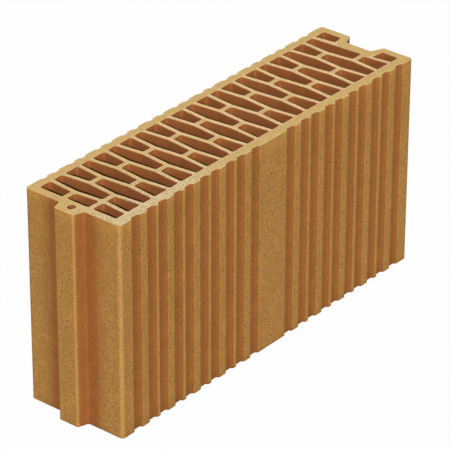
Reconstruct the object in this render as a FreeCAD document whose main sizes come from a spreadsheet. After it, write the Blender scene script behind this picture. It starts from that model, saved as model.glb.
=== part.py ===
import FreeCAD, Part
import os
import Sketcher

NODE = "clay_block"

# Driving sizes in millimetres: the front is the ribbed side with the plain band, the start is the tongue end
SIZES = [
    ("body_length", 484.5, "end face to end face, without the tongue"),
    ("body_width", 126.0, "front ribs to back ribs"),
    ("body_height", 249.0, "bed face to bed face"),
    ("corner_round", 4.5, "radius of the four upright corners"),
    ("row_margin", 9.0, "end face to where the even grid of rows starts"),
    ("end_wall", 10.1, "end face to the first and last row of cells"),
    ("front_wall", 13.5, "front ribs to the cells"),
    ("back_wall", 11.0, "back ribs to the cells"),
    ("row_count", 23, "rows of cells along the length"),
    ("row_web", 5.8, "web between two rows"),
    ("cross_web", 5.7, "web between the cells of one row"),
    ("short_cell", 30.5, "cell length across the block, in the short cells"),
    ("web_wave", 1.6, "sideways swing of the zigzag row webs, each way"),
    ("cell_round", 2.3, "radius of the cell corners"),
    ("front_groove_depth", 3.0, "depth of the grooves between the front ribs"),
    ("front_groove_mouth", 12.8, "front groove width at the ribs"),
    ("front_groove_floor", 8.8, "front groove width at its floor"),
    ("back_groove_depth", 1.8, "depth of the grooves between the back ribs"),
    ("back_groove_mouth", 9.4, "back groove width at the ribs"),
    ("back_groove_floor", 6.8, "back groove width at its floor"),
    ("front_pairs", 5, "pairs of front grooves on each side of the plain band"),
    ("tongue_reach", 12.5, "how far the tongue stands out"),
    ("tongue_root", 33.5, "tongue width at the end face"),
    ("tongue_tip", 25.0, "tongue width at its tip"),
    ("tongue_round", 2.5, "radius of the tongue edges"),
    ("tongue_hole", 8.4, "diameter of the hole in the tongue"),
    ("tongue_hole_offset", 0.6, "end face to the centre of that hole"),
    ("slot_depth", 15.0, "depth of the slot in the far end"),
    ("slot_mouth", 46.0, "slot width at the end face"),
    ("slot_floor", 33.0, "slot width at its floor"),
    ("slot_round", 3.0, "radius of the slot edges"),
    ("slot_wall", 10.0, "slot to the cells beside it"),
]

# Rows are counted from the tongue end, and web number k stands between rows k and k + 1
PITCH = "((Sizes.body_length - 2 * Sizes.row_margin + Sizes.row_web) / Sizes.row_count)"
HALF_CELL = f"(({PITCH} - Sizes.row_web) / 2)"
WIDE = f"({HALF_CELL} + Sizes.web_wave)"
NARROW = f"({HALF_CELL} - Sizes.web_wave)"
LAST_WEB = "(Sizes.row_count - 1)"
ODD_WEBS = "floor(Sizes.row_count / 2)"
EVEN_WEBS = "floor((Sizes.row_count - 1) / 2)"
EVEN_ROWS = f"({EVEN_WEBS} - 1)"
SLOT_ROW = LAST_WEB
ODD_ROWS = "floor((Sizes.row_count - 2) / 2)"
SECOND_FRONT_WEB = "(Sizes.row_count - 2 * Sizes.front_pairs)"

# Levels across the block: outer cell ends, and the two lines of cross webs with the cell ends beside them
FRONT = "Sizes.front_wall"
BACK = "(Sizes.body_width - Sizes.back_wall)"
FRONT_SHORT_END = f"({FRONT} + Sizes.short_cell)"
FRONT_LINE = f"({FRONT_SHORT_END} + Sizes.cross_web / 2)"
FRONT_LONG_END = f"({FRONT_SHORT_END} + Sizes.cross_web)"
BACK_SHORT_END = f"({BACK} - Sizes.short_cell)"
BACK_LINE = f"({BACK_SHORT_END} - Sizes.cross_web / 2)"
BACK_LONG_END = f"({BACK_SHORT_END} - Sizes.cross_web)"
MIDDLE = "(Sizes.body_width / 2)"
ROUND = "Sizes.cell_round"


def row_centre(row):
    """Return the expression for the middle of a row along the length."""
    return f"(Sizes.row_margin + {HALF_CELL} + ({row} - 1) * {PITCH})"


def web_centre(web):
    """Return the expression for the mean line of a row web along the length."""
    return f"(Sizes.row_margin - Sizes.row_web / 2 + {web} * {PITCH})"


def front_swing(web):
    """Return the expression for a row web's swing at the front; the back swings the other way."""
    return f"(1 - 2 * mod({web}; 2)) * Sizes.web_wave"


def make_sheet(doc):
    """Write the driving sizes into the document's sheet, one row each."""
    sheet = doc.addObject("Spreadsheet::Sheet", "Sizes")
    for line, (alias, value, meaning) in enumerate(SIZES, start=1):
        sheet.set(f"A{line}", alias)
        sheet.set(f"B{line}", str(value))
        sheet.setAlias(f"B{line}", alias)
        sheet.set(f"C{line}", meaning)
    doc.recompute()
    return sheet


def add_sketch(body, name):
    """Add a sketch on the lower bed face."""
    base = next(item for item in body.Origin.OriginFeatures if item.Role == "XY_Plane")
    sketch = body.newObject("Sketcher::SketchObject", name)
    sketch.AttachmentSupport = (base, [""])
    sketch.MapMode = "FlatFace"
    return sketch


def sheet_point(sheet, place):
    """Return the point that a pair of sheet expressions gives now."""
    return FreeCAD.Vector(*(float(sheet.evalExpression(expression)) for expression in place), 0)


def bind_point(sketch, sheet, geometry, point, place):
    """Hold a sketch point at a pair of sheet expressions."""
    for direction, expression in zip(("DistanceX", "DistanceY"), place):
        value = float(sheet.evalExpression(expression))
        index = sketch.addConstraint(Sketcher.Constraint(direction, -1, 1, geometry, point, value))
        sketch.setExpression(f"Constraints[{index}]", expression)


def bind_size(sketch, sheet, kind, geometry, expression):
    """Hold an arc's radius or a circle's diameter at a sheet expression."""
    value = float(sheet.evalExpression(expression))
    index = sketch.addConstraint(Sketcher.Constraint(kind, geometry, value))
    sketch.setExpression(f"Constraints[{index}]", expression)


def draw_polygon(sketch, sheet, corners):
    """Draw a closed outline through its corners.

    Each corner is two sheet expressions for its place and one for its radius, or None where it stays sharp.
    """
    count = len(corners)
    points = [sheet_point(sheet, corner[:2]) for corner in corners]
    first = sketch.GeometryCount
    for number in range(count):
        sketch.addGeometry(Part.LineSegment(points[number], points[(number + 1) % count]), False)
    for number in range(count):
        before = first + (number - 1) % count
        sketch.addConstraint(Sketcher.Constraint("Coincident", before, 2, first + number, 1))
    held = [first + number for number in range(count)]
    arcs = []
    for number, (_, _, radius) in enumerate(corners):
        if radius:
            before = first + (number - 1) % count
            on_before = (points[number] + points[number - 1]) / 2
            on_after = (points[number] + points[(number + 1) % count]) / 2
            size = float(sheet.evalExpression(radius))
            sketch.fillet(before, first + number, on_before, on_after, size, True, True)
            arcs.append((sketch.GeometryCount - 2, radius))
            held[number] = sketch.GeometryCount - 1
    for geometry, corner in zip(held, corners):
        bind_point(sketch, sheet, geometry, 1, corner[:2])
    for geometry, radius in arcs:
        bind_size(sketch, sheet, "Radius", geometry, radius)


def row_cell(row, levels):
    """Return the corners of a cell that is even about its row.

    Each level is a place across the block, a half width and the corner's radius.
    """
    centre = row_centre(row)
    right = [(f"{centre} + {half}", level, radius) for level, half, radius in levels]
    left = [(f"{centre} - {half}", level, radius) for level, half, radius in reversed(levels)]
    return right + left


def groove(web, swing, side):
    """Return the corners of a groove at the end of a row web, drawn as far outside the face as inside."""
    centre = f"{web_centre(web)} + {swing}"
    mouth, floor, depth = (f"Sizes.{side}_groove_{size}" for size in ("mouth", "floor", "depth"))
    face, inward = ("0", 1) if side == "front" else ("Sizes.body_width", -1)
    outer_half = f"(2 * {mouth} - {floor}) / 2"
    inner_half = f"{floor} / 2"
    outside = f"{face} - {inward} * {depth}"
    inside = f"{face} + {inward} * {depth}"
    return [
        (f"{centre} - {outer_half}", outside, None),
        (f"{centre} + {outer_half}", outside, None),
        (f"{centre} + {inner_half}", inside, None),
        (f"{centre} - {inner_half}", inside, None),
    ]


def make_outline(doc, body, sheet):
    """Extrude the plan outline with its tongue and slot."""
    slot_end = "(Sizes.body_length - Sizes.slot_depth)"
    corners = [
        ("0", "0", "Sizes.corner_round"),
        ("Sizes.body_length", "0", "Sizes.corner_round"),
        ("Sizes.body_length", f"{MIDDLE} - Sizes.slot_mouth / 2", "Sizes.slot_round"),
        (slot_end, f"{MIDDLE} - Sizes.slot_floor / 2", "Sizes.slot_round"),
        (slot_end, f"{MIDDLE} + Sizes.slot_floor / 2", "Sizes.slot_round"),
        ("Sizes.body_length", f"{MIDDLE} + Sizes.slot_mouth / 2", "Sizes.slot_round"),
        ("Sizes.body_length", "Sizes.body_width", "Sizes.corner_round"),
        ("0", "Sizes.body_width", "Sizes.corner_round"),
        ("0", f"{MIDDLE} + Sizes.tongue_root / 2", "Sizes.tongue_round"),
        ("-Sizes.tongue_reach", f"{MIDDLE} + Sizes.tongue_tip / 2", "Sizes.tongue_round"),
        ("-Sizes.tongue_reach", f"{MIDDLE} - Sizes.tongue_tip / 2", "Sizes.tongue_round"),
        ("0", f"{MIDDLE} - Sizes.tongue_root / 2", "Sizes.tongue_round"),
    ]
    sketch = add_sketch(body, "OutlineSketch")
    draw_polygon(sketch, sheet, corners)
    pad = body.newObject("PartDesign::Pad", "Outline")
    pad.Profile = sketch
    pad.setExpression("Length", "Sizes.body_height")
    doc.recompute()
    return pad


def cut_through(doc, body, sketch, name):
    """Cut a sketch on the lower bed face up through the whole block."""
    pocket = body.newObject("PartDesign::Pocket", name)
    pocket.Profile = sketch
    pocket.Type = "ThroughAll"
    pocket.Reversed = True
    doc.recompute()
    return pocket


def cut_polygons(doc, body, sheet, name, outlines):
    """Cut several outlines through the block in one feature."""
    sketch = add_sketch(body, f"{name}Sketch")
    for corners in outlines:
        draw_polygon(sketch, sheet, corners)
    return cut_through(doc, body, sketch, name)


def repeat_every_second_row(doc, body, pocket, name, count):
    """Repeat a cut along the length, two rows apart."""
    pattern = body.newObject("PartDesign::LinearPattern", name)
    pattern.Originals = [pocket]
    pattern.Direction = (pocket.Profile[0], ["H_Axis"])
    pattern.setExpression("Length", f"2 * {PITCH} * ({count} - 1)")
    pattern.setExpression("Occurrences", count)
    body.Tip = pattern
    doc.recompute()
    return pattern


def cut_tongue_hole(doc, body, sheet):
    """Cut the round hole at the root of the tongue."""
    sketch = add_sketch(body, "TongueHoleSketch")
    place = ("-Sizes.tongue_hole_offset", MIDDLE)
    circle = Part.Circle(sheet_point(sheet, place), FreeCAD.Vector(0, 0, 1), sheet.tongue_hole / 2)
    hole = sketch.addGeometry(circle, False)
    bind_point(sketch, sheet, hole, 3, place)
    bind_size(sketch, sheet, "Diameter", hole, "Sizes.tongue_hole")
    return cut_through(doc, body, sketch, "TongueHole")


def cut_grooves(doc, body, sheet):
    """Cut the grooves of both ribbed sides, each at the end of a row web."""
    first_front = [groove(web, front_swing(web), "front") for web in ("1", "2")]
    pocket = cut_polygons(doc, body, sheet, "FrontGrooves", first_front)
    repeat_every_second_row(doc, body, pocket, "FrontGrooveRun", "Sizes.front_pairs")
    second_webs = (SECOND_FRONT_WEB, f"({SECOND_FRONT_WEB} + 1)")
    second_front = [groove(web, front_swing(web), "front") for web in second_webs]
    pocket = cut_polygons(doc, body, sheet, "FrontGroovesPastBand", second_front)
    repeat_every_second_row(doc, body, pocket, "FrontGrooveRunPastBand", "Sizes.front_pairs")
    for name, web, count in (("BackOddGrooves", "1", ODD_WEBS), ("BackEvenGrooves", "2", EVEN_WEBS)):
        pocket = cut_polygons(doc, body, sheet, name, [groove(web, f"-{front_swing(web)}", "back")])
        repeat_every_second_row(doc, body, pocket, f"{name}Run", count)


def cut_inner_cells(doc, body, sheet):
    """Cut the zigzag rows, each with a short and a long cell, with the short one changing sides."""
    even_row = [
        row_cell(2, [(FRONT, WIDE, ROUND), (FRONT_SHORT_END, NARROW, ROUND)]),
        row_cell(2, [(FRONT_LONG_END, NARROW, ROUND), (BACK_LINE, WIDE, None), (BACK, NARROW, ROUND)]),
    ]
    pocket = cut_polygons(doc, body, sheet, "EvenRowCells", even_row)
    repeat_every_second_row(doc, body, pocket, "EvenRows", EVEN_ROWS)
    odd_row = [
        row_cell(3, [(FRONT, NARROW, ROUND), (FRONT_LINE, WIDE, None), (BACK_LONG_END, NARROW, ROUND)]),
        row_cell(3, [(BACK_SHORT_END, NARROW, ROUND), (BACK, WIDE, ROUND)]),
    ]
    pocket = cut_polygons(doc, body, sheet, "OddRowCells", odd_row)
    repeat_every_second_row(doc, body, pocket, "OddRows", ODD_ROWS)


def cut_slot_row(doc, body, sheet):
    """Cut the row before the slot, where the long cell's far side runs straight past the slot."""
    centre = row_centre(SLOT_ROW)
    short_cell = row_cell(SLOT_ROW, [(FRONT, WIDE, ROUND), (FRONT_SHORT_END, NARROW, ROUND)])
    long_cell = [
        (f"{centre} + {WIDE}", FRONT_LONG_END, ROUND),
        (f"{centre} + {NARROW}", BACK, ROUND),
        (f"{centre} - {NARROW}", BACK, ROUND),
        (f"{centre} - {WIDE}", BACK_LINE, None),
        (f"{centre} - {NARROW}", FRONT_LONG_END, ROUND),
    ]
    return cut_polygons(doc, body, sheet, "SlotRowCells", [short_cell, long_cell])


def cut_end_cells(doc, body, sheet):
    """Cut the three cells behind the tongue and the two beside the slot."""
    start = "Sizes.end_wall"
    first_right = f"({web_centre('1')} - Sizes.row_web / 2)"
    swing = front_swing("1")
    bands = [
        (FRONT, FRONT_SHORT_END, "+"),
        (FRONT_LONG_END, BACK_LONG_END, "-"),
        (BACK_SHORT_END, BACK, "+"),
    ]
    first_row = []
    for low, high, sign in bands:
        opposite = "-" if sign == "+" else "+"
        low_right = (f"{first_right} {sign} {swing}", low, ROUND)
        high_right = (f"{first_right} {opposite} {swing}", high, ROUND)
        first_row.append([(start, low, ROUND), low_right, high_right, (start, high, ROUND)])
    cut_polygons(doc, body, sheet, "FirstRowCells", first_row)

    end = "(Sizes.body_length - Sizes.end_wall)"
    last_left = f"({web_centre(LAST_WEB)} + Sizes.row_web / 2)"
    swing = front_swing(LAST_WEB)
    slope = "(Sizes.slot_mouth - Sizes.slot_floor) / 2 / Sizes.slot_depth"
    at_floor = "(Sizes.slot_floor / 2 + Sizes.slot_wall)"
    at_end = f"(Sizes.slot_mouth / 2 - {slope} * Sizes.end_wall + Sizes.slot_wall)"
    front_cell = [
        (f"{last_left} + {swing}", FRONT, ROUND),
        (end, FRONT, ROUND),
        (end, f"{MIDDLE} - {at_end}", ROUND),
        (f"{last_left} - {swing}", f"{MIDDLE} - {at_floor}", ROUND),
    ]
    back_cell = [
        (f"{last_left} + {swing}", f"{MIDDLE} + {at_floor}", ROUND),
        (end, f"{MIDDLE} + {at_end}", ROUND),
        (end, BACK, ROUND),
        (f"{last_left} - {swing}", BACK, ROUND),
    ]
    return cut_polygons(doc, body, sheet, "LastRowCells", [front_cell, back_cell])


def check(doc, body):
    """Stop before anything is written if an object failed or the block isn't one sound solid."""
    for item in doc.Objects:
        if {"Invalid", "Error"} & set(item.State):
            raise RuntimeError(f"{item.Name} failed: {item.State}")
    if body.Shape.isNull() or not body.Shape.isValid() or len(body.Shape.Solids) != 1:
        raise RuntimeError("the block isn't one valid solid")


def main():
    """Build the block and write its file."""
    os.makedirs("parts", exist_ok=True)
    doc = FreeCAD.newDocument("HollowClayBlock")
    sheet = make_sheet(doc)
    body = doc.addObject("PartDesign::Body", "ClayBlock")
    body.Label = NODE
    solid_volume = make_outline(doc, body, sheet).Shape.Volume
    cut_tongue_hole(doc, body, sheet)
    cut_grooves(doc, body, sheet)
    cut_inner_cells(doc, body, sheet)
    cut_slot_row(doc, body, sheet)
    cut_end_cells(doc, body, sheet)
    body.setExpression("Placement.Base.x", "(Sizes.tongue_reach - Sizes.body_length) / 2")
    body.setExpression("Placement.Base.y", "-Sizes.body_width / 2")
    doc.recompute()
    check(doc, body)
    print(f"{NODE}: solid share {body.Shape.Volume / solid_volume:.3f}, box {body.Shape.BoundBox}")
    body.Shape.exportStep(f"parts/{NODE}.step")


main()
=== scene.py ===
"""Dresses the hollow clay block: its drawn walls, its ground bed faces, the studio and the camera."""

from __future__ import annotations

import logging
import math
from abc import ABC, abstractmethod
from dataclasses import dataclass, field
from enum import Enum
from typing import Any

import bmesh
import bpy
import numpy as np
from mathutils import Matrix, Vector

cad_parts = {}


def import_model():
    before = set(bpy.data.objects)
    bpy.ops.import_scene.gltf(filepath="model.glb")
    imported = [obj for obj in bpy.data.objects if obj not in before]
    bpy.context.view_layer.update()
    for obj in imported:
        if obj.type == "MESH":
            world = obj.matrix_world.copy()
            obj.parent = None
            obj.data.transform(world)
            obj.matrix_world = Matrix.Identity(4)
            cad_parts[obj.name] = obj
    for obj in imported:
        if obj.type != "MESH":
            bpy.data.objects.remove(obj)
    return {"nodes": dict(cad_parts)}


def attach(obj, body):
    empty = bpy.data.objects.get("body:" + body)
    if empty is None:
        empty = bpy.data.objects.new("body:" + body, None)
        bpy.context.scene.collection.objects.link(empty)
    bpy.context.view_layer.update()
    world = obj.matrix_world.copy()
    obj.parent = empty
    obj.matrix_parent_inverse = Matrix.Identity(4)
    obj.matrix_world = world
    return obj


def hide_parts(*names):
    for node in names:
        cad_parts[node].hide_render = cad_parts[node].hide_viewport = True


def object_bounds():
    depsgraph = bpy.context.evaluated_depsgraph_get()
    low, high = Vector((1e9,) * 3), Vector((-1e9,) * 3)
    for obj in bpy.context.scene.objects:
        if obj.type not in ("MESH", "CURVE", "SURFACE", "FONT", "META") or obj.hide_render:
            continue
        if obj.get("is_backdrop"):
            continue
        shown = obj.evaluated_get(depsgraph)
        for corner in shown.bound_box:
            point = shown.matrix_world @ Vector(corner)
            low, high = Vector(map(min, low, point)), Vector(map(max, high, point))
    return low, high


Socket = bpy.types.NodeSocket
Colour = tuple[float, float, float, float]
Triple = tuple[float, float, float]
Pair = tuple[float, float]

MM = 0.001
CUBIC_CM = 1e-6
BODY = "root"
BLOCK_NODE = "clay_block"
BED_HEIGHT = 249 * MM
MERGE_REACH = 0.01 * MM
# The share of a dot's radius that is solid
DOT_CORE = 0.5
# The share of a run that the round at one of its ends may take up
ROUND_SHARE = 0.45
WHITE = (1.0, 1.0, 1.0, 1.0)
FLOAT = "NodeSocketFloat"
WHOLE = "NodeSocketInt"
SHAPE = "NodeSocketGeometry"
STUFF = "NodeSocketMaterial"
ARROW = "NodeSocketVector"

log = logging.getLogger("clay_block")


class Zone(Enum):
    """The three kinds of surface on the block, by the number stored on each face."""

    SKIN = 0
    CELL = 1
    BED = 2


class Mark(Enum):
    """Names of the attributes that the rings, the walls and the bed faces carry."""

    BASE = "base"
    SIDE = "side"
    RIM = "rim"
    CELL = "in_cell"
    # Painted shade in the outline's recesses, and painted light at the back ends of the cells
    RECESS = "recess"
    EDGE = "edge"
    # Painted highlight on the outline's ridges and rounded corners
    RIDGE = "ridge"
    # Painted shade on the groove flanks that face along X
    FLANK = "flank"
    LIP = "lip"
    ZONE = "zone"
    ROW = "row"
    WEB = "web"


def linear(red: float, green: float, blue: float) -> Colour:
    """Turn a colour as a screen shows it into the linear colour that a shader takes.

    Args:
        red: Red from 0 to 255.
        green: Green from 0 to 255.
        blue: Blue from 0 to 255.

    Returns:
        The linear colour with full alpha.
    """
    channels = []
    for level in (red, green, blue):
        # The usual curve of a screen, which is straight for the darkest levels
        share = level / 255
        low = share / 12.92
        high = ((share + 0.055) / 1.055) ** 2.4
        channels.append(low if share <= 0.04045 else high)
    return (*channels, 1.0)


def live(sockets: Any, name: str) -> Socket:
    """Find the socket of that name that a node uses with its settings."""
    return next(socket for socket in sockets if socket.name == name and socket.enabled)


def add_object(name: str, data: Any) -> bpy.types.Object:
    """Add an object to the scene.

    Args:
        name: The object's name.
        data: Its mesh, lamp or camera.

    Returns:
        The new object.
    """
    added = bpy.data.objects.new(name, data)
    bpy.context.scene.collection.objects.link(added)
    return added


def aim(holder: bpy.types.Object, azimuth: float, elevation: float, distance: float, target: Triple) -> None:
    """Put a lamp or a camera at a distance from a target and turn it to face the target.

    Args:
        holder: The lamp's or the camera's object.
        azimuth: Degrees round from the front, positive to the right.
        elevation: Degrees above the floor.
        distance: How far from the target it stands.
        target: The point that it faces.
    """
    turn = math.radians(azimuth)
    tilt = math.radians(elevation)
    toward = Vector((
        math.sin(turn) * math.cos(tilt),
        -math.cos(turn) * math.cos(tilt),
        math.sin(tilt),
    ))
    holder.location = Vector(target) + toward * distance
    holder.rotation_euler = toward.to_track_quat("Z", "Y").to_euler()


class Wiring:
    """Short calls that add nodes to one tree and join their sockets."""

    def __init__(self, tree: bpy.types.NodeTree) -> None:
        """Keep the tree that the nodes go into."""
        self.tree = tree

    def add(self, kind: str, **settings: Any) -> bpy.types.Node:
        """Add a node.

        Args:
            kind: The node's type name.
            **settings: Properties of the node and their values.

        Returns:
            The new node.
        """
        node = self.tree.nodes.new(kind)
        for name, value in settings.items():
            setattr(node, name, value)
        return node

    def feed(self, socket: Socket, value: Any) -> None:
        """Link an output to an input, or set the input's own value.

        Args:
            socket: The input.
            value: An output socket, or a plain value.
        """
        if isinstance(value, Socket):
            self.tree.links.new(value, socket)
        else:
            socket.default_value = value

    def fill(self, node: bpy.types.Node, **inputs: Any) -> bpy.types.Node:
        """Feed a node's inputs by their names.

        Args:
            node: The node.
            **inputs: Input names, with an underscore for each space, and what they take.

        Returns:
            The same node.
        """
        for name, value in inputs.items():
            self.feed(live(node.inputs, name.replace("_", " ")), value)
        return node

    def make(self, kind: str, **inputs: Any) -> bpy.types.Node:
        """Add a node that needs no settings and feed its inputs by their names."""
        return self.fill(self.add(kind), **inputs)

    def maths(self, operation: str, *terms: Any, clamp: bool = False) -> Socket:
        """Work out a number.

        Args:
            operation: The Math node's operation.
            *terms: Its terms, sockets or numbers.
            clamp: Whether the result is kept from 0 to 1.

        Returns:
            The socket with the result.
        """
        node = self.add("ShaderNodeMath", operation=operation, use_clamp=clamp)
        for socket, term in zip(node.inputs, terms):
            self.feed(socket, term)
        return node.outputs["Value"]

    def product(self, first: Any, *others: Any) -> Any:
        """Multiply numbers.

        Args:
            first: The first socket or number.
            *others: What it is multiplied by.

        Returns:
            The socket with the product.
        """
        result = first
        for other in others:
            result = self.maths("MULTIPLY", result, other)
        return result

    def vectors(self, operation: str, first: Any, second: Any) -> Socket:
        """Work out a vector.

        Args:
            operation: The Vector Math node's operation.
            first: The first vector.
            second: The second vector, or the factor where the operation is SCALE.

        Returns:
            The socket with the result.
        """
        node = self.add("ShaderNodeVectorMath", operation=operation)
        self.feed(node.inputs[0], first)
        self.feed(node.inputs["Scale"] if operation == "SCALE" else node.inputs[1], second)
        return node.outputs["Vector"]

    def vector(self, x: Any = 0.0, y: Any = 0.0, z: Any = 0.0) -> Socket:
        """Put a vector together from its parts."""
        return self.make("ShaderNodeCombineXYZ", X=x, Y=y, Z=z).outputs["Vector"]

    def part(self, vector: Any, axis: str) -> Socket:
        """Take a vector's part along X, Y or Z."""
        return self.make("ShaderNodeSeparateXYZ", Vector=vector).outputs[axis]

    def spread(self, value: Any, low: Any, high: Any, start: Any = 0.0, end: Any = 1.0) -> Socket:
        """Map a range smoothly to another, and stop at its ends.

        Args:
            value: The value to map.
            low: Where the range starts.
            high: Where the range ends.
            start: The result at the start.
            end: The result at the end.

        Returns:
            The socket with the result.
        """
        node = self.add("ShaderNodeMapRange", interpolation_type="SMOOTHSTEP")
        self.fill(node, Value=value, From_Min=low, From_Max=high, To_Min=start, To_Max=end)
        return node.outputs["Result"]

    def mix(self, share: Any, first: Any, second: Any) -> Socket:
        """Mix two colours, with the second's share from 0 to 1."""
        node = self.fill(self.add("ShaderNodeMix", data_type="RGBA"), Factor=share, A=first, B=second)
        return live(node.outputs, "Result")

    def noise(self, place: Any, scale: Any, detail: float, roughness: float = 0.5) -> Socket:
        """Add even noise from 0 to 1, with its repeats in a metre, its finer layers and their strength."""
        node = self.make("ShaderNodeTexNoise", Vector=place, Scale=scale, Detail=detail, Roughness=roughness)
        return next(socket for socket in node.outputs if socket.name in ("Fac", "Factor"))

    def dots(self, place: Any, spacing: Any, radius: Any, share: Any) -> Socket:
        """Scatter round dots of uneven size.

        Args:
            place: The vector that the dots read.
            spacing: Mean distance between the places where a dot can be.
            radius: The largest radius.
            share: How many of those places have a dot, from 0 to 1.

        Returns:
            The socket with the dots, from 0 to 1.
        """
        scatter = self.make("ShaderNodeTexVoronoi", Vector=place, Scale=self.maths("DIVIDE", 1.0, spacing))
        reach = self.maths("DIVIDE", radius, spacing)
        inside = self.spread(scatter.outputs["Distance"], self.product(reach, DOT_CORE), reach, 1.0, 0.0)
        lot = self.make("ShaderNodeSeparateColor", Color=scatter.outputs["Color"])
        return self.product(inside, self.maths("LESS_THAN", lot.outputs["Red"], share))

    def effect(self, tree: bpy.types.NodeTree, **inputs: Any) -> Any:
        """Place a shader group in a material, feed its inputs and give its outputs."""
        return self.fill(self.add("ShaderNodeGroup", node_tree=tree), **inputs).outputs

    def painted(self, mark: Mark) -> Socket:
        """Read one of the attributes in a material."""
        return self.add("ShaderNodeAttribute", attribute_name=mark.value).outputs["Fac"]

    def mark(self, mark: Mark, data_type: str = "FLOAT") -> Socket:
        """Read one of the attributes, by its type, in Geometry Nodes."""
        node = self.fill(self.add("GeometryNodeInputNamedAttribute", data_type=data_type), Name=mark.value)
        return live(node.outputs, "Attribute")

    def store(
        self, shape: Socket, mark: Mark, value: Any, data_type: str, domain: str, selection: Any = True
    ) -> Socket:
        """Store an attribute in Geometry Nodes.

        Args:
            shape: The geometry that carries it.
            mark: Which attribute.
            value: What is stored.
            data_type: Its type.
            domain: Points or faces.
            selection: Which elements take it.

        Returns:
            The socket with the geometry.
        """
        node = self.add("GeometryNodeStoreNamedAttribute", data_type=data_type, domain=domain)
        self.fill(node, Geometry=shape, Selection=selection, Name=mark.value, Value=value)
        return node.outputs["Geometry"]

    def move(self, shape: Socket, **places: Any) -> Socket:
        """Move points in Geometry Nodes to a Position or by an Offset, all of them or a Selection."""
        return self.make("GeometryNodeSetPosition", Geometry=shape, **places).outputs["Geometry"]

    def join(self, *shapes: Socket) -> Socket:
        """Join pieces of geometry.

        Args:
            *shapes: The pieces.

        Returns:
            The socket with all of them.
        """
        node = self.add("GeometryNodeJoinGeometry")
        for shape in shapes:
            self.feed(node.inputs["Geometry"], shape)
        return node.outputs["Geometry"]


class GroupWiring(Wiring):
    """The wiring of a new node group with named sockets."""

    def __init__(
        self, name: str, kind: str, inputs: dict[str, tuple[str, Any]], outputs: dict[str, str]
    ) -> None:
        """Make the group.

        Args:
            name: The group's name.
            kind: The tree's type.
            inputs: Each input's socket type and value, by name.
            outputs: Each output's socket type, by name.
        """
        super().__init__(bpy.data.node_groups.new(name, kind))
        for title, (socket_type, value) in inputs.items():
            socket = self.tree.interface.new_socket(title, in_out="INPUT", socket_type=socket_type)
            if value is not None:
                socket.default_value = value
        for title, socket_type in outputs.items():
            self.tree.interface.new_socket(title, in_out="OUTPUT", socket_type=socket_type)
        self.given = self.add("NodeGroupInput").outputs
        self.result = self.add("NodeGroupOutput").inputs


def bare_wiring(holder: bpy.types.Material | bpy.types.World) -> Wiring:
    """Give a material or a world an empty tree.

    Args:
        holder: The material or the world.

    Returns:
        The wiring of its tree.
    """
    holder.use_nodes = True
    holder.node_tree.nodes.clear()
    return Wiring(holder.node_tree)


@dataclass
class ClayGrain:
    """Shader group for what all the clay shares: specks, pale grains, mottling and a fine height."""

    mottle_size: float = 18 * MM
    mottle_detail: float = 5.0
    mottle_roughness: float = 0.7
    fine_detail: float = 3.0
    fine_roughness: float = 0.6
    speck_height: float = 0.5
    scatter_turn: Triple = (0.6, 0.4, 0.8)
    grain_shift: Triple = (0.31, 0.17, 0.53)
    tree: bpy.types.NodeTree = field(init=False)

    def __post_init__(self) -> None:
        """Build the group once."""
        inputs = {
            "Place": (ARROW, None),
            "Speck spacing": (FLOAT, None),
            "Speck radius": (FLOAT, None),
            "Speck share": (FLOAT, None),
            "Mottle size": (FLOAT, self.mottle_size),
        }
        outputs = {"Specks": FLOAT, "Grains": FLOAT, "Mottle": FLOAT, "Height": FLOAT}
        wiring = GroupWiring("clay grain", "ShaderNodeTree", inputs, outputs)
        given = wiring.given
        place = given["Place"]
        scatter = [given[name] for name in ("Speck spacing", "Speck radius", "Speck share")]
        # Turned, so that no flat face of the block lies along the layers of the scatter
        turned = wiring.make("ShaderNodeMapping", Vector=place, Rotation=self.scatter_turn).outputs["Vector"]
        specks = wiring.dots(turned, *scatter)
        grains = wiring.dots(wiring.vectors("ADD", turned, self.grain_shift), *scatter)
        broad, close = (wiring.maths("DIVIDE", 1.0, given[name]) for name in ("Mottle size", "Speck spacing"))
        fine = wiring.noise(place, close, self.fine_detail, self.fine_roughness)
        raised = wiring.maths("SUBTRACT", grains, specks)
        for name, value in (
            ("Specks", specks),
            ("Grains", grains),
            ("Mottle", wiring.noise(place, broad, self.mottle_detail, self.mottle_roughness)),
            ("Height", wiring.maths("MULTIPLY_ADD", raised, self.speck_height, fine)),
        ):
            wiring.feed(wiring.result[name], value)
        self.tree = wiring.tree


@dataclass
class DrawnLines:
    """Shader group for the upright lines that the die leaves on walls drawn through it."""

    width: float = 2.5 * MM
    length: float = 160 * MM
    detail: float = 2.0
    tree: bpy.types.NodeTree = field(init=False)

    def __post_init__(self) -> None:
        """Build the group once."""
        inputs = {
            "Place": (ARROW, None),
            "Line width": (FLOAT, self.width),
            "Line length": (FLOAT, self.length),
        }
        wiring = GroupWiring("drawn lines", "ShaderNodeTree", inputs, {"Lines": FLOAT})
        across = wiring.maths("DIVIDE", 1.0, wiring.given["Line width"])
        along = wiring.maths("DIVIDE", 1.0, wiring.given["Line length"])
        place = wiring.vectors("MULTIPLY", wiring.given["Place"], wiring.vector(across, across, along))
        wiring.feed(wiring.result["Lines"], wiring.noise(place, 1.0, self.detail))
        self.tree = wiring.tree


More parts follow.
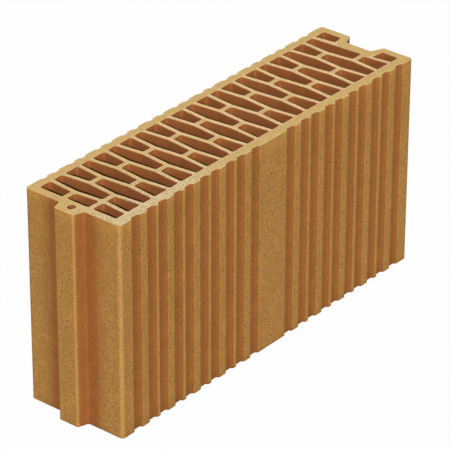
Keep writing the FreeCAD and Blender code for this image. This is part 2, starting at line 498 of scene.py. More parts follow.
@dataclass(frozen=True, kw_only=True)
class ClayFinish(ABC):
    """A fired clay surface: its colours, how speckled it is and how rough."""

    name: str
    body: Colour
    speck: Colour
    grain: Colour
    edge: Colour
    speck_spacing: float
    speck_radius: float
    speck_share: float
    speck_strength: float
    grain_strength: float
    patchiness: float
    mottle: float
    cloud: float
    lines: float = 0.0
    bump: float
    roughness: float
    bump_depth: float = 0.4 * MM
    specular: float = 0.25
    patch_range: Pair = (0.4, 0.6)
    tone_range: Pair = (0.3, 0.7)
    cloud_range: Pair = (0.2, 0.8)

    @abstractmethod
    def ground(self, wiring: Wiring, place: Socket) -> Socket:
        """Work out the clay's own colour, before its specks.

        Args:
            wiring: The material's wiring.
            place: The socket with the object's coordinates.

        Returns:
            The socket with the colour.
        """

    @abstractmethod
    def speckled(self, wiring: Wiring, place: Socket) -> Socket:
        """Work out where the specks show.

        Args:
            wiring: The material's wiring.
            place: The socket with the object's coordinates.

        Returns:
            The socket with their strength, from 0 to 1.
        """

    def brightness(self, wiring: Wiring, place: Socket) -> Any:
        """Give the level of the clay before its mottling, which is even here."""
        return 1.0

    def edge_paling(self, wiring: Wiring) -> Socket:
        """Read how pale each point is, towards the colour of the edges."""
        return wiring.painted(Mark.EDGE)

    def material(self, grain_group: ClayGrain, line_group: DrawnLines) -> bpy.types.Material:
        """Build the material.

        Args:
            grain_group: The group with the clay's specks.
            line_group: The group with the drawn lines.

        Returns:
            The new material.
        """
        material = bpy.data.materials.new(self.name)
        wiring = bare_wiring(material)
        place = wiring.add("ShaderNodeTexCoord").outputs["Object"]
        grain = wiring.effect(
            grain_group.tree,
            Place=place,
            Speck_spacing=self.speck_spacing,
            Speck_radius=self.speck_radius,
            Speck_share=self.speck_share,
        )
        lines = wiring.effect(line_group.tree, Place=place)
        colour = self.ground(wiring, place)
        patches = wiring.spread(grain["Mottle"], *self.patch_range, 1 - self.patchiness, 1.0)
        shown = wiring.product(self.speckled(wiring, place), patches)
        for mask, tint, strength in (
            ("Specks", self.speck, self.speck_strength),
            ("Grains", self.grain, self.grain_strength),
        ):
            colour = wiring.mix(wiring.product(grain[mask], strength, shown), colour, tint)
        level = self.brightness(wiring, place)
        for value, bounds, depth in (
            (grain["Mottle"], self.tone_range, self.mottle),
            (grain["Height"], self.cloud_range, self.cloud),
            (lines["Lines"], self.tone_range, self.lines),
        ):
            level = wiring.product(wiring.spread(value, *bounds, 1 - depth, 1 + depth), level)
        colour = wiring.vectors("SCALE", colour, level)
        # Pale rims, and on the outer walls the painted highlight on the ridges
        colour = wiring.mix(self.edge_paling(wiring), colour, self.edge)
        bump = wiring.make(
            "ShaderNodeBump", Strength=self.bump, Distance=self.bump_depth, Height=grain["Height"]
        )
        shader = wiring.make(
            "ShaderNodeBsdfPrincipled",
            Base_Color=colour,
            Roughness=self.roughness,
            Specular_IOR_Level=self.specular,
            Normal=bump.outputs["Normal"],
        )
        wiring.make("ShaderNodeOutputMaterial", Surface=shader.outputs["BSDF"])
        return material


@dataclass(frozen=True, kw_only=True)
class WallFinish(ClayFinish):
    """Walls drawn through the die, with a painted colour and no specks where their recess mark is set:
    painted shade in the outer walls' recesses, painted light at the cells' back ends.
    """

    recessed: Colour

    def ground(self, wiring: Wiring, place: Socket) -> Socket:
        """Mix the recess mark's colour into the body's: painted shade in the outer walls' recesses, painted
        light at the cells' back ends.
        """
        return wiring.mix(wiring.painted(Mark.RECESS), self.body, self.recessed)

    def speckled(self, wiring: Wiring, place: Socket) -> Socket:
        """Leave the specks out of the painted shade in the recesses and the painted light at the cells' back
        ends.
        """
        return wiring.maths("SUBTRACT", 1.0, wiring.painted(Mark.RECESS))


@dataclass(frozen=True, kw_only=True)
class SkinFinish(WallFinish):
    """The outer walls: painted shade on the flanks of their grooves, a painted highlight on their ridges, and
    dust close under the upper bed.
    """

    flank: Colour
    ridge_highlight: float
    dust: float
    dust_cover: float
    dust_depth: float

    def dusted(self, wiring: Wiring, place: Socket) -> Socket:
        """Work out how much of the grinding's dust lies on a wall, from 0 to 1 at the bed's edge."""
        return wiring.spread(wiring.part(place, "Z"), BED_HEIGHT - self.dust_depth, BED_HEIGHT)

    def ground(self, wiring: Wiring, place: Socket) -> Socket:
        """Mix the flanks' painted shade into the walls' colour."""
        return wiring.mix(wiring.painted(Mark.FLANK), super().ground(wiring, place), self.flank)

    def speckled(self, wiring: Wiring, place: Socket) -> Socket:
        """Cover some of the specks with dust."""
        bare = wiring.maths("MULTIPLY_ADD", self.dusted(wiring, place), -self.dust_cover, 1.0)
        return wiring.product(super().speckled(wiring, place), bare)

    def brightness(self, wiring: Wiring, place: Socket) -> Socket:
        """Brighten the dusted clay."""
        return wiring.maths("MULTIPLY_ADD", self.dusted(wiring, place), self.dust, 1.0)

    def edge_paling(self, wiring: Wiring) -> Socket:
        """Add a painted highlight along the ridges to the pale rims."""
        ridge = wiring.product(wiring.painted(Mark.RIDGE), self.ridge_highlight)
        return wiring.maths("MAXIMUM", super().edge_paling(wiring), ridge)


@dataclass(frozen=True, kw_only=True)
class BedFinish(ClayFinish):
    """The ground bed faces: pale webs with grinding marks, and grain that is coarsest at one corner."""

    web: Colour
    web_mark: Colour
    mark_spacing: float
    mark_edge: float
    first_mark: float
    last_mark: float
    coarse: Colour
    coarse_corner: Triple
    coarse_shape: Triple
    coarse_reach: float
    coarse_fall: float
    smooth_reach: float
    smooth_grain: float

    def ground(self, wiring: Wiring, place: Socket) -> Socket:
        """Work out the ground clay's colour, with marks across the webs.

        Args:
            wiring: The material's wiring.
            place: The socket with the object's coordinates.

        Returns:
            The socket with the colour.
        """
        along = wiring.product(wiring.part(place, "Y"), math.tau / self.mark_spacing)
        stripes = wiring.spread(wiring.maths("SINE", along), -self.mark_edge, self.mark_edge)
        marked = wiring.spread(wiring.part(place, "X"), self.first_mark, self.last_mark)
        web = wiring.mix(wiring.product(stripes, marked), self.web, self.web_mark)
        ground = wiring.mix(wiring.painted(Mark.WEB), self.body, web)
        paled = wiring.maths("POWER", self.speckled(wiring, place), self.coarse_fall)
        return wiring.mix(paled, ground, self.coarse)

    def speckled(self, wiring: Wiring, place: Socket) -> Socket:
        """Work out where the grain shows, which is most at the coarse corner.

        Args:
            wiring: The material's wiring.
            place: The socket with the object's coordinates.

        Returns:
            The socket with its strength, from 0 to 1.
        """
        offset = wiring.vectors("SUBTRACT", place, self.coarse_corner)
        away = wiring.add("ShaderNodeVectorMath", operation="LENGTH")
        wiring.feed(away.inputs[0], wiring.vectors("MULTIPLY", offset, self.coarse_shape))
        bounds = (self.coarse_reach, self.smooth_reach)
        return wiring.spread(away.outputs["Value"], *bounds, 1.0, self.smooth_grain)


SKIN_FINISH = SkinFinish(
    name="clay skin",
    body=linear(167, 120, 58),
    # Painted shade: the darker, redder colour in the grooves and other recesses of the outline
    recessed=linear(147, 90, 39),
    # Painted shade: the dark colour on the groove flanks that face along X
    flank=linear(138, 88, 35),
    speck=linear(110, 73, 31),
    grain=linear(190, 148, 84),
    edge=linear(198, 163, 95),
    speck_spacing=2.5 * MM,
    speck_radius=1.15 * MM,
    speck_share=0.55,
    speck_strength=0.75,
    grain_strength=0.35,
    patchiness=0.7,
    mottle=0.07,
    cloud=0.1,
    lines=0.02,
    # Painted highlight: how far the ridges and rounded corners pale towards the edge colour
    ridge_highlight=0.38,
    dust=0.075,
    dust_cover=0.6,
    dust_depth=24 * MM,
    bump=0.2,
    roughness=0.85,
)
CELL_FINISH = WallFinish(
    name="cell clay",
    body=linear(142, 83, 42),
    # Painted light: the brighter, warmer colour at the back end of each cell
    recessed=linear(160, 96, 46),
    speck=linear(120, 66, 34),
    grain=linear(162, 98, 54),
    edge=linear(170, 126, 74),
    speck_spacing=2.4 * MM,
    speck_radius=0.9 * MM,
    speck_share=0.5,
    speck_strength=0.4,
    grain_strength=0.2,
    patchiness=0.5,
    mottle=0.05,
    cloud=0.05,
    lines=0.03,
    bump=0.2,
    roughness=0.9,
)
BED_FINISH = BedFinish(
    name="ground bed",
    body=linear(198, 163, 97),
    speck=linear(116, 94, 60),
    grain=linear(226, 212, 180),
    edge=linear(226, 194, 146),
    speck_spacing=1.7 * MM,
    speck_radius=0.85 * MM,
    speck_share=0.6,
    speck_strength=0.85,
    grain_strength=0.5,
    patchiness=0.2,
    mottle=0.04,
    cloud=0.08,
    bump=0.25,
    roughness=0.9,
    web=linear(204, 174, 116),
    web_mark=linear(228, 194, 144),
    mark_spacing=3.4 * MM,
    mark_edge=0.7,
    first_mark=-170 * MM,
    last_mark=-20 * MM,
    coarse=linear(208, 183, 135),
    coarse_corner=(-236 * MM, -63 * MM, BED_HEIGHT),
    coarse_shape=(1.0, 3.0, 1.0),
    coarse_reach=75 * MM,
    coarse_fall=2.0,
    smooth_reach=240 * MM,
    smooth_grain=0.25,
)


def ring_area(ring: np.ndarray) -> float:
    """Work out the area inside a ring, which is positive where it runs anticlockwise."""
    onward = np.roll(ring, -1, axis=0)
    return float((ring[:, 0] * onward[:, 1] - ring[:, 1] * onward[:, 0]).sum() / 2)


def inward(ring: np.ndarray) -> np.ndarray:
    """Work out the mitred direction into the clay at each point of a ring.

    Args:
        ring: The ring's points, with the clay on their left.

    Returns:
        One vector for each point, long enough to move both its edges by one unit.
    """
    run = np.roll(ring, -1, axis=0) - ring
    run /= np.linalg.norm(run, axis=1)[:, None]
    left = np.stack((-run[:, 1], run[:, 0]), axis=1)
    before = np.roll(left, 1, axis=0)
    return (left + before) / (1 + (left * before).sum(axis=1))[:, None]


def soften(ring: np.ndarray, radius: float, steps: int, least_turn: float) -> np.ndarray:
    """Round the clear corners of a ring.

    Args:
        ring: The ring's points.
        radius: The radius of the round.
        steps: Straight runs in each round.
        least_turn: The smallest turn, in degrees, that counts as a corner.

    Returns:
        The points of the softened ring.
    """
    result = []
    before = np.roll(ring, 1, axis=0)
    after = np.roll(ring, -1, axis=0)
    for last, corner, following in zip(before, ring, after):
        back = last - corner
        on = following - corner
        room = ROUND_SHARE * min(np.linalg.norm(back), np.linalg.norm(on))
        back = back / np.linalg.norm(back)
        on = on / np.linalg.norm(on)
        turn = math.pi - math.acos(max(-1.0, min(1.0, float(back @ on))))
        if turn < math.radians(least_turn):
            result.append(corner)
            continue
        cut = min(room, radius * math.tan(turn / 2))
        size = cut / math.tan(turn / 2)
        middle = back + on
        middle /= np.linalg.norm(middle)
        centre = corner + middle * math.hypot(cut, size)
        first_arm = corner + back * cut - centre
        last_arm = corner + on * cut - centre
        for step in range(steps + 1):
            share = step / steps
            arms = first_arm * math.sin((1 - share) * turn) + last_arm * math.sin(share * turn)
            result.append(centre + arms / math.sin(turn))
    return np.array(result)


def divide(ring: np.ndarray, step: float) -> np.ndarray:
    """Divide the long runs of a ring evenly.

    Args:
        ring: The ring's points.
        step: The longest run that is left.

    Returns:
        The points of the divided ring.
    """
    result = []
    for start, end in zip(ring, np.roll(ring, -1, axis=0)):
        pieces = max(1, math.ceil(np.linalg.norm(end - start) / step))
        for piece in range(pieces):
            result.append(start + (end - start) * piece / pieces)
    return np.array(result)


@dataclass
class BedRings:
    """The rings of edges round the upper bed face, and what the walls carry at each of their points."""

    node: bpy.types.Object
    height: float
    top_slack: float = 0.05 * MM
    # The least upright part of a bed face's normal
    level_normal: float = 0.9
    soft_radius: float = 1.7 * MM
    soft_steps: int = 4
    soft_angle: float = 25.0
    outline_step: float = 1.25 * MM
    cell_step: float = 3.0 * MM
    # How pale the rims are along the outline and at the ends of a cell, and how much of that a cell's rim
    # loses on its two sides along X
    lip_of_outline: float = 0.5
    lip_of_ends: float = 0.8
    lip_loss: Pair = (1.0, 0.4)
    # The radius of each ball, and the depth under it at which a recess's painted shade is mostly full
    balls: tuple[Pair, ...] = ((30 * MM, 0.5 * MM), (60 * MM, 3.3 * MM))
    ball_slack: float = 0.05 * MM
    # How near and how sharp the outward turns must be for a painted highlight on a ridge
    ridge_reach: float = 6 * MM
    ridge_turns: Pair = (50.0, 70.0)
    groove_reach: float = 4 * MM
    groove_least: float = 0.02
    # Where a flank's painted shade starts and where it is full, by the part of its direction along X
    flank_leans: Pair = (0.45, 0.75)
    # How far from a cell's back end its painted light reaches
    end_light_reach: float = 8 * MM
    row_gap: float = 8 * MM
    no_row: float = -100.0
    rings: list[np.ndarray] = field(default_factory=list)

    def read(self) -> None:
        """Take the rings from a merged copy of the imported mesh, the outline first."""
        form = bmesh.new()
        form.from_mesh(self.node.data)
        bmesh.ops.remove_doubles(form, verts=form.verts, dist=MERGE_REACH)
        nexts: dict[int, list[int]] = {}
        places: dict[int, Pair] = {}
        for edge in form.edges:
            level = [abs(face.normal.z) > self.level_normal for face in edge.link_faces]
            at_top = all(corner.co.z > self.height - self.top_slack for corner in edge.verts)
            if at_top and level.count(True) == 1:
                first, second = edge.verts
                for here, there in ((first, second), (second, first)):
                    nexts.setdefault(here.index, []).append(there.index)
                    places[here.index] = here.co.xy[:]
        form.free()
        while nexts:
            start = next(iter(nexts))
            ring = [start]
            here = start
            before = -1
            while True:
                onward = [n for n in nexts.pop(here) if n != before]
                before = here
                here = onward[0]
                if here == start:
                    break
                ring.append(here)
            self.rings.append(np.array([places[n] for n in ring]))
        self.rings.sort(key=lambda ring: -abs(ring_area(ring)))
        for place, ring in enumerate(self.rings):
            anticlockwise = ring_area(ring) > 0
            if anticlockwise != (place == 0):
                self.rings[place] = ring[::-1]

    def mesh(self) -> bpy.types.Mesh:
        """Build the mesh of edges that the walls are drawn up from.

        Returns:
            The rings, with the attributes that the trees read.
        """
        points: list[Triple] = []
        sides: list[Triple] = []
        edges: list[tuple[int, int]] = []
        carried: dict[Mark, list[float]] = {}
        for place, (ring, row) in enumerate(zip(self.rings, self.row_numbers())):
            if place == 0:
                ring = soften(ring, self.soft_radius, self.soft_steps, self.soft_angle)
                ring = divide(ring, self.outline_step)
                marks = self.outline_marks(ring)
            else:
                ring = divide(ring, self.cell_step)
                marks = self.cell_marks(ring)
            first = len(points)
            count = len(ring)
            marks[Mark.ROW] = row
            for mark, values in marks.items():
                carried.setdefault(mark, []).extend(np.broadcast_to(values, count))
            points.extend((x, y, 0.0) for x, y in ring)
            sides.extend((x, y, 0.0) for x, y in inward(ring))
            edges.extend((first + n, first + (n + 1) % count) for n in range(count))
        mesh = bpy.data.meshes.new("bed rings")
        mesh.from_pydata(points, edges, [])
        side = mesh.attributes.new(Mark.SIDE.value, "FLOAT_VECTOR", "POINT")
        side.data.foreach_set("vector", np.array(sides, dtype=np.float32).ravel())
        for mark, values in carried.items():
            attribute = mesh.attributes.new(mark.value, "FLOAT", "POINT")
            attribute.data.foreach_set("value", np.array(values, dtype=np.float32))
        return mesh

    def outline_marks(self, ring: np.ndarray) -> dict[Mark, Any]:
        """Work out what the outline carries, by attribute, at each point or the same at all of them."""
        recess = self.recessed(ring)
        return {
            Mark.CELL: 0.0,
            Mark.RECESS: recess,
            Mark.RIDGE: self.ridged(ring),
            Mark.FLANK: self.flanked(ring, recess),
            Mark.LIP: self.lip_of_outline,
        }

    def cell_marks(self, ring: np.ndarray) -> dict[Mark, Any]:
        """Work out what a cell carries, by attribute, at each point or the same at all of them."""
        return {
            Mark.CELL: 1.0,
            # The recess mark carries each cell's painted light at its back end
            Mark.RECESS: self.painted_end_light(ring),
            Mark.RIDGE: 0.0,
            Mark.FLANK: 0.0,
            Mark.LIP: self.rim_paleness(ring),
        }

    def recessed(self, ring: np.ndarray) -> np.ndarray:
        """Work out how deep each point of the outline lies under balls that are rolled along it, which sets
        its painted shade.

        Args:
            ring: The points of the outline, anticlockwise.

        Returns:
            For each point a number from 0, touched by every ball, to 1, in a recess.
        """
        outward = -inward(ring)
        outward /= np.linalg.norm(outward, axis=1)[:, None]
        deepest = np.zeros(len(ring))
        for radius, scale in self.balls:
            centres = ring + outward * radius
            gaps = np.linalg.norm(centres[:, None] - ring[None], axis=2) - radius
            free = gaps.min(axis=1) > -self.ball_slack
            depth = gaps[free].min(axis=0).clip(0)
            deepest = np.maximum(deepest, 1 - np.exp(-depth / scale))
        return deepest

    def ridged(self, ring: np.ndarray) -> np.ndarray:
        """Work out how far the outline turns outwards close to each of its points, which sets the painted
        highlight on its ridges.

        Args:
            ring: The points of the outline, anticlockwise.

        Returns:
            For each point a number from 0, flat or hollow, to 1, on a ridge.
        """
        run = np.roll(ring, -1, axis=0) - ring
        before = np.roll(run, 1, axis=0)
        cross = before[:, 0] * run[:, 1] - before[:, 1] * run[:, 0]
        turn = np.arctan2(cross, (before * run).sum(axis=1))
        away = np.linalg.norm(ring[:, None] - ring[None], axis=2)
        nearness = (1 - away / self.ridge_reach).clip(0)
        least, most = np.radians(self.ridge_turns)
        return ((nearness @ turn - least) / (most - least)).clip(0, 1)

    def flanked(self, ring: np.ndarray, recess: np.ndarray) -> np.ndarray:
        """Work out which points lie on the flanks of the grooves that face along X, where the walls get a
        painted shade.

        Args:
            ring: The points of the outline, anticlockwise.
            recess: How deep each of them lies in a recess.

        Returns:
            For each point a number from 0, away from a flank, to 1, on one.
        """
        into = inward(ring)
        lean = np.abs(into[:, 0]) / np.linalg.norm(into, axis=1)
        least, most = self.flank_leans
        from_middle = np.abs(ring[:, 1])
        grooved = (from_middle > from_middle.max() - self.groove_reach) & (recess > self.groove_least)
        return grooved * ((lean - least) / (most - least)).clip(0, 1)

    def painted_end_light(self, ring: np.ndarray) -> np.ndarray:
        """Give a number near 1 at the back end of a cell, where its walls get painted light, and less
        elsewhere.
        """
        return np.exp((ring[:, 1] - ring[:, 1].max()) / self.end_light_reach)

    def rim_paleness(self, ring: np.ndarray) -> np.ndarray:
        """Work out how pale the rim is at each point of a cell, by which way it faces along X.

        Args:
            ring: The points of the cell, clockwise.

        Returns:
            For each point a number from 0, on the side where the clay lies towards plus X, up to the most, at
            the ends.
        """
        leaning = inward(ring)[:, 0].clip(-1, 1)
        plus_x_loss, minus_x_loss = self.lip_loss
        return self.lip_of_ends * (1 - np.where(leaning > 0, leaning * plus_x_loss, -leaning * minus_x_loss))

    def row_numbers(self) -> list[float]:
        """Number the rows of cells from the tongue end.

        Returns:
            One number for each ring, far below zero for the outline and for the tongue's hole.
        """
        middles = [(ring[:, 0].min() + ring[:, 0].max()) / 2 for ring in self.rings]
        cells = range(1, len(self.rings) - 1)
        numbers = [self.no_row] * len(self.rings)
        row = 0
        last = -math.inf
        for place in sorted(cells, key=lambda cell: middles[cell]):
            row += middles[place] - last > self.row_gap
            last = middles[place]
            numbers[place] = float(row)
        return numbers


@dataclass
class BlockSkin:
    """The block's skin: walls drawn up from the rings of the bed face, and the two bed faces."""

    rings: BedRings
    height: float
    rim: float = 0.55 * MM
    rim_steps: int = 3
    rim_wander: float = 0.5
    wander_scale: float = 220.0
    wander_gain: float = 3.0
    # How much wider a rim is where it is not pale at all
    bare_rim: float = 1.5
    lip_width: float = 0.75 * MM
    outline_rises: int = 18
    cell_rises: int = 4
    relief: float = 0.08 * MM
    relief_fade: Pair = (0.5 * MM, 8 * MM)
    drag_across: float = 320.0
    drag_along: float = 6.0
    noise_detail: float = 2.0
    # A lip is on a web where it faces along X, and a face where it lies half-way between two rows
    web_lean: float = 0.7
    web_slack: float = 0.4
    sharp_angle: float = 38.0

    def wall_group(self) -> bpy.types.NodeTree:
        """Build the group that draws rings of edges up into walls with rounded rims.

        Returns:
            The Geometry Nodes group.
        """
        inputs = {
            "Rings": (SHAPE, None),
            "Height": (FLOAT, self.height),
            "Rises": (WHOLE, None),
            "Rim steps": (WHOLE, self.rim_steps),
            "Relief": (FLOAT, self.relief),
        }
        wiring = GroupWiring("drawn wall", "GeometryNodeTree", inputs, {"Wall": SHAPE})
        given = wiring.given
        base = wiring.mark(Mark.BASE, "FLOAT_VECTOR")
        side = wiring.mark(Mark.SIDE, "FLOAT_VECTOR")
        rim = wiring.mark(Mark.RIM)
        rows = wiring.maths("MULTIPLY_ADD", given["Rim steps"], 2.0, given["Rises"])
        start = wiring.vectors("ADD", base, wiring.vectors("SCALE", side, rim))
        enter = wiring.add("GeometryNodeRepeatInput")
        leave = wiring.add("GeometryNodeRepeatOutput")
        enter.pair_with_output(leave)
        leave.repeat_items.new("BOOLEAN", "Top")
        lowest = wiring.move(given["Rings"], Position=start)
        wiring.fill(enter, Iterations=rows, Geometry=lowest, Top=True)
        row = wiring.maths("ADD", enter.outputs["Iteration"], 1.0)
        left = wiring.maths("SUBTRACT", rows, row)
        from_end = wiring.maths("MINIMUM", row, left)
        share = wiring.maths("DIVIDE", from_end, given["Rim steps"], clamp=True)
        turn = wiring.product(share, math.pi / 2)
        # Rows at both ends go round a rim, and those between them climb the straight wall
        rising = wiring.maths("SUBTRACT", row, given["Rim steps"])
        climb = wiring.maths("DIVIDE", rising, given["Rises"], clamp=True)
        straight = wiring.maths("MULTIPLY_ADD", rim, -2.0, given["Height"])
        upper = wiring.maths("GREATER_THAN", row, left)
        sign = wiring.maths("MULTIPLY_ADD", upper, 2.0, -1.0)
        bend = wiring.product(wiring.maths("COSINE", turn), sign)
        level = wiring.maths("MULTIPLY_ADD", straight, climb, rim)
        level = wiring.maths("MULTIPLY_ADD", bend, rim, level)
        set_in = wiring.maths("SUBTRACT", 1.0, wiring.maths("SINE", turn))
        inset = wiring.maths("MULTIPLY_ADD", set_in, rim, self.hollow(wiring, base, level))
        spot = wiring.vectors("ADD", base, wiring.vectors("SCALE", side, inset))
        spot = wiring.vectors("ADD", spot, wiring.vector(z=level))
        extrude = wiring.add("GeometryNodeExtrudeMesh", mode="EDGES")
        wiring.fill(extrude, Mesh=enter.outputs["Geometry"], Selection=enter.outputs["Top"], Offset_Scale=0.0)
        top = extrude.outputs["Top"]
        lifted = wiring.move(extrude.outputs["Mesh"], Selection=top, Position=spot)
        edge_paling = wiring.product(wiring.maths("SUBTRACT", 1.0, share), wiring.mark(Mark.LIP))
        paled_wall = wiring.store(lifted, Mark.EDGE, edge_paling, "FLOAT", "FACE", extrude.outputs["Side"])
        wiring.fill(leave, Geometry=paled_wall, Top=top)
        wiring.feed(wiring.result["Wall"], leave.outputs["Geometry"])
        return wiring.tree

    def hollow(self, wiring: GroupWiring, base: Socket, level: Socket) -> Socket:
        """Work out how deep the die's fine drag is cut into a wall.

        Args:
            wiring: The wall group's wiring.
            base: Where a point stands on its ring.
            level: How high it stands on the wall.

        Returns:
            The socket with the depth, which fades out towards the rims.
        """
        across = wiring.vectors("SCALE", base, self.drag_across)
        along = wiring.vector(z=wiring.product(level, self.drag_along))
        drag = wiring.noise(wiring.vectors("ADD", across, along), 1.0, self.noise_detail)
        from_top = wiring.maths("SUBTRACT", wiring.given["Height"], level)
        fade = wiring.spread(wiring.maths("MINIMUM", level, from_top), *self.relief_fade)
        return wiring.product(drag, wiring.given["Relief"], fade)

    def block_group(self) -> bpy.types.NodeTree:
        """Build the tree that makes the whole skin from the rings.

        Returns:
            The Geometry Nodes tree.
        """
        inputs = {
            "Rings": (SHAPE, None),
            "Height": (FLOAT, self.height),
            "Rim": (FLOAT, self.rim),
            "Rim wander": (FLOAT, self.rim_wander),
            "Rim steps": (WHOLE, self.rim_steps),
            "Lip width": (FLOAT, self.lip_width),
            "Outline rises": (WHOLE, self.outline_rises),
            "Cell rises": (WHOLE, self.cell_rises),
            "Relief": (FLOAT, self.relief),
            "Skin": (STUFF, None),
            "Cell": (STUFF, None),
            "Bed": (STUFF, None),
        }
        wiring = GroupWiring("block skin", "GeometryNodeTree", inputs, {"Skin": SHAPE})
        rings = self.rimmed(wiring)
        lower_bed = self.bed(wiring, rings)
        upper_bed = wiring.move(lower_bed, Offset=wiring.vector(z=wiring.given["Height"]))
        joined = wiring.join(*self.walls(wiring, rings), lower_bed, upper_bed)
        merged = wiring.make("GeometryNodeMergeByDistance", Geometry=joined, Distance=MERGE_REACH)
        whole = wiring.make("GeometryNodeRealizeInstances", Geometry=merged.outputs["Geometry"])
        shape = whole.outputs["Geometry"]
        for zone in Zone:
            chosen = wiring.add("FunctionNodeCompare", data_type="INT", operation="EQUAL")
            wiring.fill(chosen, A=wiring.mark(Mark.ZONE, "INT"), B=zone.value)
            coat = wiring.make(
                "GeometryNodeSetMaterial",
                Geometry=shape,
                Selection=chosen.outputs["Result"],
                Material=wiring.given[zone.name.capitalize()],
            )
            shape = coat.outputs["Geometry"]
        wiring.feed(wiring.result["Skin"], shape)
        return wiring.tree

    def rimmed(self, wiring: GroupWiring) -> Socket:
        """Store where each point of the rings stands and how wide its rim is.

        Args:
            wiring: The tree's wiring.

        Returns:
            The socket with the rings.
        """
        position = wiring.add("GeometryNodeInputPosition").outputs["Position"]
        rings = wiring.store(wiring.given["Rings"], Mark.BASE, position, "FLOAT_VECTOR", "POINT")
        noise = wiring.noise(position, self.wander_scale, self.noise_detail)
        centred = wiring.maths("SUBTRACT", noise, 0.5)
        wander = wiring.product(centred, self.wander_gain, wiring.given["Rim wander"])
        # The less pale a rim, the rounder that rim is
        bare = wiring.maths("MULTIPLY_ADD", wiring.mark(Mark.LIP), -self.bare_rim, self.bare_rim)
        rim = wiring.product(wiring.given["Rim"], wiring.maths("ADD", wander, 1.0), bare)
        return wiring.store(rings, Mark.RIM, rim, "FLOAT", "POINT")

    def walls(self, wiring: GroupWiring, rings: Socket) -> list[Socket]:
        """Draw up the walls of the cells and of the outline.

        Args:
            wiring: The tree's wiring.
            rings: The rings.

        Returns:
            The sockets with the two sets of walls.
        """
        split = wiring.add("GeometryNodeSeparateGeometry", domain="POINT")
        wiring.fill(split, Geometry=rings, Selection=wiring.mark(Mark.CELL))
        wall = self.wall_group()
        drawn = []
        for zone, half, rises in (
            (Zone.CELL, "Selection", "Cell rises"),
            (Zone.SKIN, "Inverted", "Outline rises"),
        ):
            node = wiring.add("GeometryNodeGroup", node_tree=wall)
            wiring.fill(node, Rings=split.outputs[half], Rises=wiring.given[rises])
            for name in ("Height", "Rim steps", "Relief"):
                wiring.feed(node.inputs[name], wiring.given[name])
            drawn.append(wiring.store(node.outputs["Wall"], Mark.ZONE, zone.value, "INT", "FACE"))
        return drawn

    def bed(self, wiring: GroupWiring, rings: Socket) -> Socket:
        """Fill the lower bed face between the rims, with a lip round each ring and its webs marked.

        Args:
            wiring: The tree's wiring.
            rings: The rings.

        Returns:
            The socket with the bed face.
        """
        side = wiring.mark(Mark.SIDE, "FLOAT_VECTOR")
        placed = wiring.move(rings, Offset=wiring.vectors("SCALE", side, wiring.mark(Mark.RIM)))
        lip = wiring.vectors("SCALE", side, wiring.given["Lip width"])
        strip = wiring.add("GeometryNodeExtrudeMesh", mode="EDGES")
        wiring.fill(strip, Mesh=placed, Offset_Scale=0.0)
        widened = wiring.move(strip.outputs["Mesh"], Selection=strip.outputs["Top"], Offset=lip)
        lean = wiring.maths("ABSOLUTE", wiring.part(side, "X"))
        facing = wiring.product(wiring.maths("GREATER_THAN", lean, self.web_lean), wiring.mark(Mark.CELL))
        lips = wiring.store(widened, Mark.EDGE, wiring.mark(Mark.LIP), "FLOAT", "FACE")
        lips = wiring.store(lips, Mark.WEB, facing, "FLOAT", "FACE")
        inner = wiring.move(placed, Offset=lip)
        curve = wiring.make("GeometryNodeMeshToCurve", Mesh=inner)
        filled = wiring.add("GeometryNodeFillCurve", mode="TRIANGLES")
        wiring.fill(filled, Curve=curve.outputs["Curve"])
        nearest = wiring.make("GeometryNodeSampleNearest", Geometry=inner)
        row = wiring.make(
            "GeometryNodeSampleIndex",
            Geometry=inner,
            Value=wiring.mark(Mark.ROW),
            Index=nearest.outputs["Index"],
        )
        bed = wiring.store(filled.outputs["Mesh"], Mark.ROW, row.outputs["Value"], "FLOAT", "POINT")
        # A face with corners in two rows of cells has a broken number for its mean row
        mean_row = wiring.mark(Mark.ROW)
        off_middle = wiring.maths("SUBTRACT", wiring.maths("FRACT", mean_row), 0.5)
        between = wiring.maths("LESS_THAN", wiring.maths("ABSOLUTE", off_middle), self.web_slack)
        web = wiring.product(between, wiring.maths("GREATER_THAN", mean_row, 0.0))
        bed = wiring.store(bed, Mark.WEB, web, "FLOAT", "FACE")
        return wiring.store(wiring.join(bed, lips), Mark.ZONE, Zone.BED.value, "INT", "FACE")

    def build(self, materials: dict[Zone, bpy.types.Material]) -> bpy.types.Object:
        """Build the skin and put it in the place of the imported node.

        Args:
            materials: The material of each kind of surface.

        Returns:
            The finished piece.
        """
        self.rings.read()
        log.info("rings on the bed face: %d", len(self.rings.rings))
        carrier = add_object("bed rings", self.rings.mesh())
        modifier = carrier.modifiers.new("block skin", "NODES")
        tree = self.block_group()
        modifier.node_group = tree
        for item in tree.interface.items_tree:
            if item.in_out == "INPUT" and item.socket_type == STUFF:
                modifier[item.identifier] = materials[Zone[item.name.upper()]]
            elif item.in_out == "INPUT" and item.socket_type != SHAPE:
                modifier[item.identifier] = item.default_value
        graph = bpy.context.evaluated_depsgraph_get()
        mesh = bpy.data.meshes.new_from_object(carrier.evaluated_get(graph))
        bpy.data.objects.remove(carrier)
        mesh.name = "clay block skin"
        self.finish_mesh(mesh)
        piece = add_object("clay_block_skin", mesh)
        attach(piece, BODY)
        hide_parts(BLOCK_NODE)
        return piece

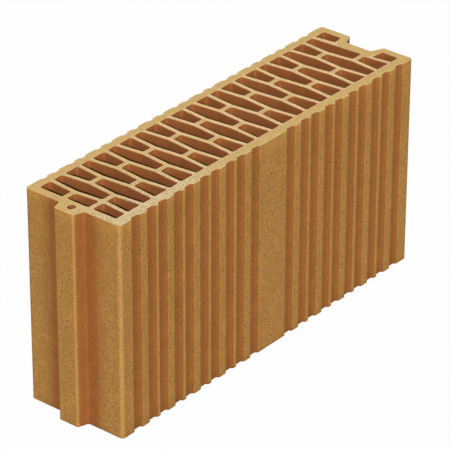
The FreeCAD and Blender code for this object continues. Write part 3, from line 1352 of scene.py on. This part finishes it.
    def finish_mesh(self, mesh: bpy.types.Mesh) -> None:
        """Turn all faces outwards and keep only the clear corners sharp.

        Args:
            mesh: The skin's mesh.
        """
        form = bmesh.new()
        form.from_mesh(mesh)
        bmesh.ops.recalc_face_normals(form, faces=form.faces)
        open_edges = 0
        for face in form.faces:
            face.smooth = True
        for edge in form.edges:
            open_edges += len(edge.link_faces) != 2
            edge.smooth = edge.calc_face_angle(0.0) < math.radians(self.sharp_angle)
        triangles = sum(len(face.verts) - 2 for face in form.faces)
        volume = form.calc_volume() / CUBIC_CM
        log.info("skin: %d triangles, %d open edges, volume %.1f cm3", triangles, open_edges, volume)
        form.to_mesh(mesh)
        form.free()


@dataclass(frozen=True, kw_only=True)
class Lamp:
    """A lamp far away, with its level as the brightness of a white wall that faces it."""

    name: str
    azimuth: float
    elevation: float
    level: float
    softness: float
    distance: float = 3.0
    target: Triple = (0.0, 0.0, 0.0)

    def build(self) -> None:
        """Add the lamp, which looks as many degrees wide from the object as its softness says."""
        lamp = bpy.data.lights.new(self.name, "SUN")
        lamp.energy = self.level * math.pi
        lamp.angle = math.radians(self.softness)
        aim(add_object(self.name, lamp), self.azimuth, self.elevation, self.distance, self.target)


@dataclass
class Studio:
    """A plain pale floor, and lamps on both sides of the camera, above the block and behind it."""

    floor_size: float = 12.0
    floor_colour: Colour = (0.6, 0.6, 0.6, 1.0)
    floor_glow: float = 0.97
    world_level: float = 0.04
    lamps: tuple[Lamp, ...] = (
        Lamp(name="key", azimuth=-54.0, elevation=25.9, level=0.8, softness=0.6),
        Lamp(name="side", azimuth=-22.0, elevation=9.5, level=0.25, softness=8.0),
        Lamp(name="top", azimuth=140.0, elevation=88.0, level=0.56, softness=3.0),
        Lamp(name="back", azimuth=140.0, elevation=12.0, level=0.35, softness=15.0),
    )

    def build(self) -> None:
        """Build the floor, the lamps and the world."""
        self.add_floor()
        for lamp in self.lamps:
            lamp.build()
        self.set_world()

    def add_floor(self) -> None:
        """Lay the floor, which shows nearly white and keeps the object's shadow."""
        half = self.floor_size / 2
        corners = [(-half, -half, 0), (half, -half, 0), (half, half, 0), (-half, half, 0)]
        mesh = bpy.data.meshes.new("floor")
        mesh.from_pydata(corners, [], [(0, 1, 2, 3)])
        material = bpy.data.materials.new("pale floor")
        wiring = bare_wiring(material)
        matt = wiring.make("ShaderNodeBsdfDiffuse", Color=self.floor_colour)
        glow = wiring.make("ShaderNodeEmission", Color=WHITE, Strength=1.0)
        path = wiring.add("ShaderNodeLightPath")
        share = wiring.product(path.outputs["Is Camera Ray"], self.floor_glow)
        mixed = wiring.add("ShaderNodeMixShader")
        for socket, value in zip(mixed.inputs, (share, matt.outputs["BSDF"], glow.outputs["Emission"])):
            wiring.feed(socket, value)
        wiring.make("ShaderNodeOutputMaterial", Surface=mixed.outputs["Shader"])
        mesh.materials.append(material)
        add_object("floor", mesh)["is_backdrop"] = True

    def set_world(self) -> None:
        """Set an even light all round, which the camera sees as white."""
        world = bpy.data.worlds.new("studio")
        bpy.context.scene.world = world
        wiring = bare_wiring(world)
        path = wiring.add("ShaderNodeLightPath")
        strength = wiring.spread(path.outputs["Is Camera Ray"], 0.0, 1.0, self.world_level, 1.0)
        back = wiring.make("ShaderNodeBackground", Color=WHITE, Strength=strength)
        wiring.make("ShaderNodeOutputWorld", Surface=back.outputs["Background"])


@dataclass
class PhotoCamera:
    """The camera, at the photograph's viewing angle."""

    target: Triple = (5.09 * MM, 0.81 * MM, 124.04 * MM)
    azimuth: float = -50.705
    elevation: float = 29.263
    roll: float = 0.182
    distance: float = 3320.1 * MM
    lens: float = 249.81
    sensor: float = 36.0
    reach: float = 50.0

    def build(self) -> None:
        """Add the camera and make it the scene's own."""
        camera = bpy.data.cameras.new("photo camera")
        camera.sensor_fit = "HORIZONTAL"
        camera.sensor_width = self.sensor
        camera.lens = self.lens
        camera.clip_end = self.reach
        holder = add_object("photo camera", camera)
        aim(holder, self.azimuth, self.elevation, self.distance, self.target)
        holder.rotation_euler.rotate_axis("Z", math.radians(self.roll))
        bpy.context.scene.camera = holder


def main() -> None:
    """Build the camera, the studio and the block in order."""
    logging.basicConfig(level=logging.INFO, format="%(message)s")
    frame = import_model()
    cad_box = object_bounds()
    bpy.context.scene.view_settings.view_transform = "Standard"
    PhotoCamera().build()
    Studio().build()
    grain = ClayGrain()
    lines = DrawnLines()
    materials = {
        Zone.SKIN: SKIN_FINISH.material(grain, lines),
        Zone.CELL: CELL_FINISH.material(grain, lines),
        Zone.BED: BED_FINISH.material(grain, lines),
    }
    height = cad_box[1][2]
    rings = BedRings(node=frame["nodes"][BLOCK_NODE], height=height)
    piece = BlockSkin(rings=rings, height=height).build(materials)
    log.info("built %s", piece.name)


if __name__ == "__main__":
    main()
